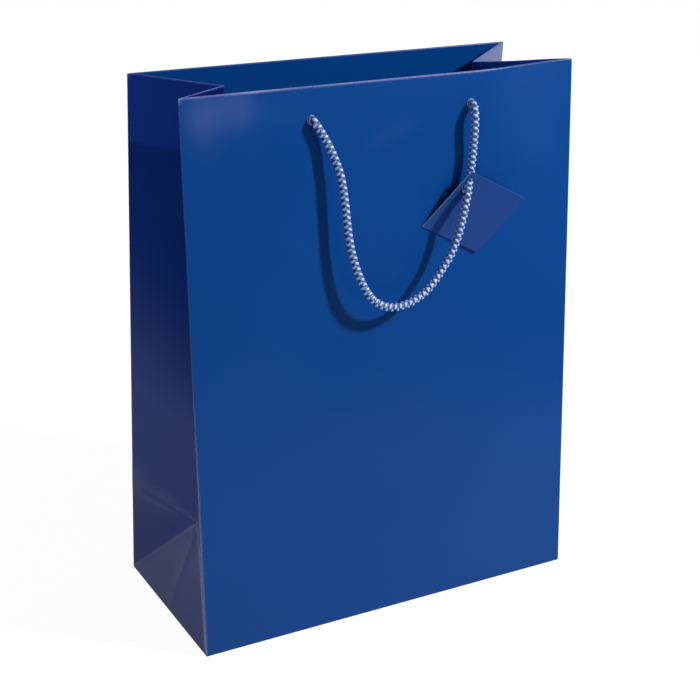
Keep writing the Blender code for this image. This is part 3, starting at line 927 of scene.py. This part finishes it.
# across, drop below the top fold, and out from the panel
frontRoute = (
    (-0.0495, 0.0182, -0.0018), (-0.0495, 0.0182, 0.0012), (-0.0492, 0.0194, 0.0034),
    (-0.0470, 0.0228, 0.0041), (-0.0438, 0.0285, 0.0046), (-0.0411, 0.0345, 0.0057),
    (-0.0386, 0.0415, 0.0072), (-0.0365, 0.0493, 0.0084), (-0.0352, 0.0579, 0.0091),
    (-0.0343, 0.0672, 0.0096), (-0.0337, 0.0764, 0.0100), (-0.0328, 0.0855, 0.0105),
    (-0.0315, 0.0938, 0.0110), (-0.0297, 0.1015, 0.0117), (-0.0271, 0.1092, 0.0122),
    (-0.0237, 0.1166, 0.0128), (-0.0190, 0.1231, 0.0131), (-0.0134, 0.1271, 0.0135),
    (-0.0069, 0.1291, 0.0138), (0.0000, 0.1290, 0.0140), (0.0070, 0.1273, 0.0140),
    (0.0138, 0.1240, 0.0140), (0.0200, 0.1190, 0.0140), (0.0259, 0.1124, 0.0139),
    (0.0312, 0.1056, 0.0138), (0.0354, 0.0986, 0.0136), (0.0386, 0.0910, 0.0135),
    (0.0411, 0.0830, 0.0134), (0.0430, 0.0760, 0.0132), (0.0447, 0.0706, 0.0125),
    (0.0461, 0.0676, 0.0113), (0.0474, 0.0653, 0.0098), (0.0488, 0.0627, 0.0083),
    (0.0502, 0.0593, 0.0070), (0.0515, 0.0538, 0.0063), (0.0526, 0.0462, 0.0062),
    (0.0531, 0.0382, 0.0065), (0.0533, 0.0306, 0.0070), (0.0535, 0.0246, 0.0067),
    (0.0542, 0.0202, 0.0048), (0.0550, 0.0183, 0.0014), (0.0551, 0.0182, -0.0018),
)
tagPoint = 31  # the front route's point inside the tag's hole

backHalfRoute = (
    (0.0523, 0.0200, -0.0018), (0.0523, 0.0200, 0.0014), (0.0525, 0.0208, 0.0052),
    (0.0523, 0.0234, 0.0084), (0.0512, 0.0278, 0.0104), (0.0496, 0.0345, 0.0112),
    (0.0480, 0.0425, 0.0115), (0.0466, 0.0515, 0.0117), (0.0453, 0.0610, 0.0119),
    (0.0440, 0.0705, 0.0121), (0.0425, 0.0798, 0.0123), (0.0405, 0.0888, 0.0125),
    (0.0378, 0.0974, 0.0127), (0.0341, 0.1054, 0.0129), (0.0293, 0.1125, 0.0131),
    (0.0232, 0.1184, 0.0132), (0.0160, 0.1228, 0.0133), (0.0081, 0.1254, 0.0133),
    (0.0000, 0.1263, 0.0133),
)


def routePoints(route, side):
    return [panelPoint(x, bag["panelHeight"] - drop, out, side) for x, drop, out in route]


# evenly spaced points on the smooth curve through the given ones
def smoothLine(points, spacing):
    given = np.array([tuple(p) for p in points])
    padded = np.vstack((given[:1], given, given[-1:]))
    fine = []
    for i in range(len(given) - 1):
        before, start, end, after = padded[i : i + 4]
        for t in np.arange(16) / 16:
            fine.append(
                start
                + (end - before) * t / 2
                + (2 * before - 5 * start + 4 * end - after) * t**2 / 2
                + (3 * start - before - 3 * end + after) * t**3 / 2
            )
    fine.append(given[-1])
    fine = np.array(fine)
    lengths = np.concatenate(([0.0], np.cumsum(np.linalg.norm(np.diff(fine, axis=0), axis=1))))
    count = max(2, round(lengths[-1] / spacing))
    wanted = np.linspace(0, lengths[-1], count + 1)
    line = np.stack([np.interp(wanted, lengths, fine[:, k]) for k in range(3)], 1)
    return line, float(lengths[-1])


# two sets of strands wind round each other: the height of the upper one at each place round and along
# the cord, the place across that strand, its number, and the place along it
def braidTops(turns, along, values):
    a = values["strands"] * turns + along / values["pitch"]
    b = -values["strands"] * turns + along / values["pitch"]
    acrossA = a - np.floor(a) - 0.5
    acrossB = b - np.floor(b) - 0.5
    signA = 1 - 2 * np.mod(np.floor(a), 2)
    signB = 1 - 2 * np.mod(np.floor(b), 2)
    topA = np.sqrt(np.maximum(1 - (values["narrow"] * acrossA) ** 2, 0)) * values["strandRise"]
    topB = np.sqrt(np.maximum(1 - (values["narrow"] * acrossB) ** 2, 0)) * values["strandRise"]
    topA = topA + signA * np.sin(math.pi * b) * values["weaveRise"]
    topB = topB - signB * np.sin(math.pi * a) * values["weaveRise"]
    isA = topA > topB
    top = np.where(isA, topA, topB)
    across = np.where(isA, acrossA, acrossB)
    strand = np.where(isA, np.floor(a), np.floor(b) + 37)
    lengthwise = np.where(isA, b, a)
    return top, across, strand, lengthwise


# a closed tube along the line whose surface is the woven strands
def addBraid(name, line, values):
    sides = values["sides"]
    rings = len(line)
    tangent = np.gradient(line, axis=0)
    tangent /= np.linalg.norm(tangent, axis=1)[:, None]
    # carry a frame along the line with no twist
    normal = np.cross(tangent[0], (1.0, 0.0, 0.0))
    if np.linalg.norm(normal) < 0.1:
        normal = np.cross(tangent[0], (0.0, 0.0, 1.0))
    normal /= np.linalg.norm(normal)
    normals = []
    for t in tangent:
        normal = normal - np.dot(normal, t) * t
        normal /= np.linalg.norm(normal)
        normals.append(normal)
    normals = np.array(normals)
    binormals = np.cross(tangent, normals)
    along = np.concatenate(([0.0], np.cumsum(np.linalg.norm(np.diff(line, axis=0), axis=1))))
    turns = np.arange(sides) / sides
    gridAlong, gridTurns = np.meshgrid(along, turns, indexing="ij")
    top, _, _, _ = braidTops(gridTurns, gridAlong, values)
    radius = values["core"] + top
    for thin, reach, fromEnd in (
        (*values["startTaper"], gridAlong),
        (*values["endTaper"], along[-1] - gridAlong),
    ):
        if reach:
            radius *= mix(thin, 1.0, smoothStep(0, reach, fromEnd))
    cosines, sines = np.cos(gridTurns * 2 * math.pi), np.sin(gridTurns * 2 * math.pi)
    points = line[:, None, :] + radius[..., None] * (
        cosines[..., None] * normals[:, None, :] + sines[..., None] * binormals[:, None, :]
    )
    points = points.reshape(-1, 3)
    r, c = np.meshgrid(np.arange(rings - 1), np.arange(sides), indexing="ij")
    n = (c + 1) % sides
    faces = np.stack((r * sides + c, r * sides + n, (r + 1) * sides + n, (r + 1) * sides + c), -1)
    faces = faces.reshape(-1, 4).tolist()
    middleTurns = (c.ravel() + 0.5) / sides
    middleAlong = (along[r.ravel()] + along[r.ravel() + 1]) / 2
    _, across, strand, lengthwise = braidTops(middleTurns, middleAlong, values)
    wallCount = len(faces)
    faces.append(list(range(sides))[::-1])
    faces.append([(rings - 1) * sides + k for k in range(sides)])
    obj = newMeshObject(name, points, faces)
    mesh = obj.data
    # one UV per face, across the strand and along it, so that the threads run with the strand
    layer = mesh.uv_layers.new(name="strand")
    uv = np.zeros((len(mesh.loops), 2))
    uv[: wallCount * 4, 0] = np.repeat(across + strand, 4)
    uv[: wallCount * 4, 1] = np.repeat(lengthwise, 4)
    layer.data.foreach_set("uv", uv.ravel())
    low, high = top.min(), values["strandRise"] + values["weaveRise"]
    keepValues(mesh, "strandTop", ((top - low) / (high - low)).ravel())
    activate(obj)
    bpy.ops.object.shade_smooth()
    return obj


# the cord's colour by how high the strand stands: dark in the gaps between strands, a painted shade, and
# pale on the crowns, a painted highlight
braid = {
    "light": (0.48, 0.63, 1.00),
    "blue": (0.090, 0.190, 0.50),
    "gap": (0.014, 0.050, 0.22),
    "stops": (0.42, 0.62, 0.90),  # how high on a strand each colour lies
    "roughness": 0.28,
    "specular": 0.65,
}


def makeBraidMaterial():
    material, tree, shader = newMaterial("blue_braided_cord")
    place = addNode(tree, "ShaderNodeUVMap", uv_map="strand")
    stretch = addNode(tree, "ShaderNodeMapping", {"Scale": (26.0, 1.6, 1.0)})
    tree.links.new(place.outputs["UV"], stretch.inputs["Vector"])
    threads = addNode(tree, "ShaderNodeTexNoise", {"Scale": 1.0, "Detail": 2.0, "Roughness": 0.5})
    tree.links.new(stretch.outputs["Vector"], threads.inputs["Vector"])
    # painted shade in the gaps and painted highlight on the crowns, from each strand's height
    depth = readValues(tree, "strandTop")
    shade = addMath(tree, "ADD", addMath(tree, "MULTIPLY", threads.outputs["Fac"], 0.30), -0.15)
    shade = addMath(tree, "ADD", shade, depth, clamp=True)
    colours = zip(braid["stops"], (braid["gap"], braid["blue"], braid["light"]))
    colour = addRamp(tree, shade, tuple(colours), smooth=False)
    tree.links.new(colour, shader.inputs["Base Color"])
    bump = addNode(tree, "ShaderNodeBump", {"Strength": 0.35, "Distance": 0.00015})
    tree.links.new(threads.outputs["Fac"], bump.inputs["Height"])
    tree.links.new(bump.outputs["Normal"], shader.inputs["Normal"])
    shader.inputs["Roughness"].default_value = braid["roughness"]
    shader.inputs["Specular IOR Level"].default_value = braid["specular"]
    return material


cordMaterial = makeBraidMaterial()

knot = {
    "wide": 0.0021,
    "high": 0.0017,
    "deep": 0.00042,
    "tail": 0.0150,  # from the knot's middle down to the cut end
    "middleDepth": 0.0056,  # from the hem to the knot's middle
    "clear": 0.0003,
    "lower": 0.0100,  # how far the knot hangs below its hole
}
# how the cord's braid differs in the knots, where it is pulled tight
knotBraid = {
    "core": 0.00145,
    "sides": 36,
    "ringStep": 0.00040,
    "startTaper": (0.55, 0.008),
    "endTaper": (0.72, 0.0015),
}


# an overhand knot against the hem, from the hole's inner end to the hanging cut end
def knotLine(across, side, hand):
    inner = -(2 * bag["paper"] + bag["hemCard"] + 2 * bag["gap"]) - knot["clear"]
    places = [(0.0, -0.0016, -0.0017), (0.0, -0.0026, inner - 0.0008)]
    for t in np.linspace(-1.93, 1.93, 15):
        x = knot["wide"] * (t**3 - 3 * t) * hand
        y = knot["high"] * (t**4 - 4 * t**2 + 2.1) - knot["lower"]
        z = knot["deep"] * (t**5 - 10 * t)
        places.append((x, y, inner - knot["middleDepth"] - z * 0.9))
    places += [
        (0.0031 * hand, -0.0078, inner - 0.0098),
        (0.0030 * hand, -0.0125, inner - 0.0092),
        (0.0027 * hand, -knot["lower"] - knot["tail"], inner - 0.0082),
    ]
    height = bag["panelHeight"] - holes["drop" if side < 0 else "backDrop"]
    return [panelPoint(across + x, height + y, out, side) for x, y, out in places]


print("braiding the cords")
mirrored = tuple((-x, drop, out) for x, drop, out in backHalfRoute[:-1])
routes = {
    "handle_front": routePoints(frontRoute, -1),
    "handle_back": routePoints(mirrored + backHalfRoute[::-1], 1),
}
cordPieces = {}
for name, route in routes.items():
    line, length = smoothLine(route, cord["ringStep"])
    piece = addBraid(name + "_braid", line, cord)
    piece.data.materials.append(cordMaterial)
    dress(piece, name)
    cordPieces[name] = (piece, line, length)

knotPieces = {"handle_front": [], "handle_back": []}
knotCord = dict(cord, **knotBraid)
for name, side, shift in (("front", -1, holes["shift"]), ("back", 1, 0.0)):
    for hand, word in ((-1, "left"), (1, "right")):
        places = knotLine(shift + hand * holes["spacing"] / 2, side, hand)
        line, _ = smoothLine(places, knotCord["ringStep"])
        piece = addBraid(f"knot_{name}_{word}_tied", line, knotCord)
        piece.data.materials.append(cordMaterial)
        dress(piece, f"knot_{name}_{word}")
        knotPieces[f"handle_{name}"].append(piece)

# the gift tag: two leaves of card that meet in a fold
tag = {
    "paper": 0.00035,
    "length": 0.0427,
    "width": 0.0428,
    "foldRadius": 0.00025,
    "spread": 0.0003,
    "hole": 0.0068,
    "cornerToHole": (0.0012, 0.0088, 0.0014),
    # directions across, up and out of the panel: down the leaf's cut edge, and along its fold
    "edgeDown": (-0.6435, -0.7295, -0.2317),
    "edgeAcross": (0.8817, -0.4716, 0.0140),
    "curl": 0.0004,
    "foldSteps": (0.0, 0.0003, 0.0007, 0.0014, 0.003),  # where the leaf's mesh is fine, from its fold
    "step": 0.0032,
}

# the tag's card is painted paler and redder than the bag's film, a painted sheen for the light its tilted
# face catches; its folds take no light marks
tagSheenBlue = dict(
    laminate,
    blue=(0.0110, 0.0610, 0.2720),
    deepBlue=(0.0100, 0.0550, 0.2520),
    foldAmount=0.0,
)


# across the two leaves: the way along the leaf from the fold, how far behind the front leaf, and the
# share of the leaf's length
def tagRows():
    radius, length = tag["foldRadius"], tag["length"]
    steps = list(tag["foldSteps"]) + spread(tag["foldSteps"][-1], length, tag["step"])[1:]
    rows = [(along, 0.0, along / length) for along in steps[::-1]]
    for k in range(1, 8):
        angle = math.pi * k / 8
        rows.append((-radius * math.sin(angle), radius * (1 - math.cos(angle)), 0.0))
    for along in steps:
        rows.append((along, 2 * radius + tag["spread"] * along / length, along / length))
    return rows


def addTag():
    up = panelPoint(0, 1, 0) - panelPoint(0, 0, 0)
    out = panelPoint(0, 0, 1) - panelPoint(0, 0, 0)

    def onPanel(v):
        return Vector((v[0], 0, 0)) + up * v[1] + out * v[2]

    route = routes["handle_front"]
    hole = route[tagPoint]
    corner = hole + onPanel(tag["cornerToHole"])
    down = onPanel(tag["edgeDown"]).normalized()
    across = onPanel(tag["edgeAcross"]).normalized()
    back = down.cross(across).normalized()
    if back.dot(out) > 0:
        back = -back
    rows = tagRows()
    columns = spread(0, tag["width"], tag["width"] / 14)
    points, places = [], []
    for along, behind, share in rows:
        for step in columns:
            curl = tag["curl"] * math.sin(math.pi * step / tag["width"]) * share
            points.append(corner + down * along + across * step + back * (behind + curl))
            places.append((step, along if behind < tag["foldRadius"] else -along))
    piece = newMeshObject("gift_tag_card", points, gridFaces(len(rows), len(columns)))
    mesh = piece.data
    keepFlatPlaces(mesh, np.array(places))
    for material in (makeLaminate("blue_tag_card", tagSheenBlue), plainWhite, cutEdge):
        mesh.materials.append(material)
    # each leaf's blue face looks away from the other leaf
    if mesh.polygons[0].normal.dot(back) > 0:
        mesh.flip_normals()
    thicken(piece, tag["paper"], **whiteInside)
    direction = (route[tagPoint + 1] - route[tagPoint - 1]).normalized()
    punchHole(piece, hole, tag["hole"], direction.to_track_quat("Z", "Y"), cutEdge)
    activate(piece)
    bpy.ops.object.shade_smooth_by_angle(angle=math.radians(40))
    return piece


print("making the tag")
tagPiece = addTag()
dress(tagPiece, "gift_tag")

for name, (piece, line, length) in cordPieces.items():
    others = list(knotPieces[name])
    if name == "handle_front":
        others.append(tagPiece)
    print(name, "length", round(length, 4))


# the stiff strip inside the front hem, which follows the panel's turned corner
def addHemCard():
    low, high = (Vector(corner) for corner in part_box("hem_card_front"))
    deselectAll()
    bpy.ops.mesh.primitive_grid_add(x_subdivisions=50, y_subdivisions=8, size=1)
    piece = bpy.context.active_object
    piece.name = "hem_card_front_strip"
    out = -(bag["paper"] + bag["gap"] + bag["hemCard"] / 2)
    places = []
    for x, y, _ in readPoints(piece.data):
        height = mix(low.z, high.z, y + 0.5) / leanCos
        places.append(panelPoint(mix(low.x, high.x, x + 0.5), height, out))
    movePoints(piece.data, turnCorner(np.array(places)))
    thicken(piece, bag["hemCard"])
    return piece


print("placing the cards")
# the other cards keep their solids
hemWhite = makePlainPaper("hem_card_white", (0.70, 0.69, 0.66), (0.77, 0.76, 0.73), 0.85, specks=0.2)
greyBoard = makePlainPaper(
    "grey_base_board", (0.42, 0.39, 0.35), (0.50, 0.47, 0.42), 0.90, 500.0, 0.35, specks=0.5
)
frontCard = addHemCard()
frontCard.data.materials.append(hemWhite)
dress(frontCard, "hem_card_front")
for name, material, slotName in (
    ("hem_card_back", hemWhite, "stiffener_card"),
    ("base_card", greyBoard, "base_board"),
):
    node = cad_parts[name]
    for slot in node.material_slots:
        slot.material = material

# floor, light and camera
print("lighting")
studio = {
    "skyStrength": 0.17,
    "keyDirection": (0.59, -0.537, 0.603),
    "keyTarget": (0, 0, 0.16),
    "keyDistance": 1.9,
    "keySize": 0.14,
    "keyPower": 36.5,
    "floorColour": 0.80,  # for the light it throws back
    "seenColour": 0.16,  # the part of the seen floor that takes shadows
    "seenLight": 0.955,
    # how bright the bag's film mirrors the floor: from close by to far off, and where
    "glow": (1.95, 0.0),
    "glowReach": (0.30, 0.74),
    # times that at the left, from beside the bag to further out
    "leftGlow": (0.54, 1.50),
    "leftReach": (-0.17, -0.50),
    "rightGlow": (0.0, 1.5),
    "rightReach": (0.35, 0.85),
    "rightTurn": 0.8,  # how much the right glow's edge runs back beside the bag
}

deselectAll()
bpy.ops.mesh.primitive_plane_add(size=12, location=(0, 0, -0.0003))
floor = bpy.context.active_object
floor.name = "studio_floor"


def makeFloorMaterial():
    material, tree, shader = newMaterial("pale_floor")
    output = tree.nodes["Material Output"]
    path = tree.nodes.new("ShaderNodeLightPath").outputs
    lit = addMath(tree, "MULTIPLY", path["Is Diffuse Ray"], studio["floorColour"])
    shown = addMath(tree, "MULTIPLY", path["Is Camera Ray"], studio["seenColour"])
    lit = addMath(tree, "ADD", lit, shown)
    tree.links.new(addMix(tree, lit, (0, 0, 0), (1, 1, 1)), shader.inputs["Base Color"])
    shader.inputs["Roughness"].default_value = 0.9
    shader.inputs["Specular IOR Level"].default_value = 0.0
    # in the film's mirror image the floor is bright close by and at the right, and dark far off
    place = tree.nodes.new("ShaderNodeTexCoord").outputs["Object"]
    split = tree.nodes.new("ShaderNodeSeparateXYZ")
    tree.links.new(place, split.inputs[0])
    x, y = split.outputs["X"], split.outputs["Y"]
    away = tree.nodes.new("ShaderNodeVectorMath")
    away.operation = "LENGTH"
    tree.links.new(place, away.inputs[0])
    front = addRange(tree, away.outputs["Value"], studio["glowReach"], studio["glow"])
    slope = addMath(tree, "ADD", x, addMath(tree, "MULTIPLY", y, studio["rightTurn"]))
    right = addRange(tree, slope, studio["rightReach"], studio["rightGlow"])
    left = addRange(tree, x, studio["leftReach"], studio["leftGlow"])
    mirrored = addMath(tree, "MULTIPLY", front, left)
    mirrored = addMath(tree, "MAXIMUM", mirrored, right)
    mirrored = addMath(tree, "MULTIPLY", mirrored, path["Is Glossy Ray"])
    seen = addMath(tree, "MAXIMUM", path["Is Camera Ray"], path["Is Transmission Ray"])
    seen = addMath(tree, "MULTIPLY", seen, studio["seenLight"])
    glow = addNode(tree, "ShaderNodeEmission", {"Color": (1, 1, 1, 1)})
    tree.links.new(addMath(tree, "MAXIMUM", seen, mirrored), glow.inputs["Strength"])
    both = tree.nodes.new("ShaderNodeAddShader")
    tree.links.new(shader.outputs[0], both.inputs[0])
    tree.links.new(glow.outputs[0], both.inputs[1])
    # from below, the floor is left out, so that the bottom can be seen
    clear = tree.nodes.new("ShaderNodeBsdfTransparent")
    facing = tree.nodes.new("ShaderNodeNewGeometry").outputs["Backfacing"]
    choice = tree.nodes.new("ShaderNodeMixShader")
    tree.links.new(facing, choice.inputs[0])
    tree.links.new(both.outputs[0], choice.inputs[1])
    tree.links.new(clear.outputs[0], choice.inputs[2])
    tree.links.new(choice.outputs[0], output.inputs["Surface"])
    return material


floor.data.materials.append(makeFloorMaterial())

world = bpy.data.worlds.new("studio")
bpy.context.scene.world = world
world.use_nodes = True
tree = world.node_tree
background = tree.nodes["Background"]
path = tree.nodes.new("ShaderNodeLightPath").outputs
seen = addMath(tree, "MAXIMUM", path["Is Camera Ray"], path["Is Glossy Ray"])
seen = addMath(tree, "MAXIMUM", seen, path["Is Transmission Ray"])
strength = addMath(tree, "MULTIPLY", seen, 1 - studio["skyStrength"])
tree.links.new(addMath(tree, "ADD", strength, studio["skyStrength"]), background.inputs["Strength"])
background.inputs["Color"].default_value = (1, 1, 1, 1)


def addKeyLamp():
    data = bpy.data.lights.new("key", "AREA")
    data.shape = "DISK"
    data.size = studio["keySize"]
    data.energy = studio["keyPower"]
    lamp = bpy.data.objects.new("key", data)
    bpy.context.scene.collection.objects.link(lamp)
    towards = Vector(studio["keyDirection"]).normalized()
    lamp.location = Vector(studio["keyTarget"]) + towards * studio["keyDistance"]
    lamp.rotation_mode = "QUATERNION"
    lamp.rotation_quaternion = (-towards).to_track_quat("-Z", "Y")


addKeyLamp()

view = {
    "place": (-0.42421, -0.76191, 0.49908),
    "right": (0.87731, -0.47962, 0.01716),
    "up": (0.16362, 0.33252, 0.92880),
    "back": (-0.45117, -0.81204, 0.37020),
    "lens": 77.12,
    "shift": (-0.0006, 0.0011),
}
cameraData = bpy.data.cameras.new("camera")
camera = bpy.data.objects.new("camera", cameraData)
bpy.context.scene.collection.objects.link(camera)
turn = Matrix((view["right"], view["up"], view["back"])).transposed()
camera.rotation_mode = "QUATERNION"
camera.rotation_quaternion = turn.to_quaternion()
camera.location = view["place"]
cameraData.lens = view["lens"]
cameraData.sensor_width = 36
cameraData.clip_start = 0.05
cameraData.shift_x, cameraData.shift_y = view["shift"]
bpy.context.scene.camera = camera
bpy.context.scene.view_settings.view_transform = "Standard"

print("finishing")
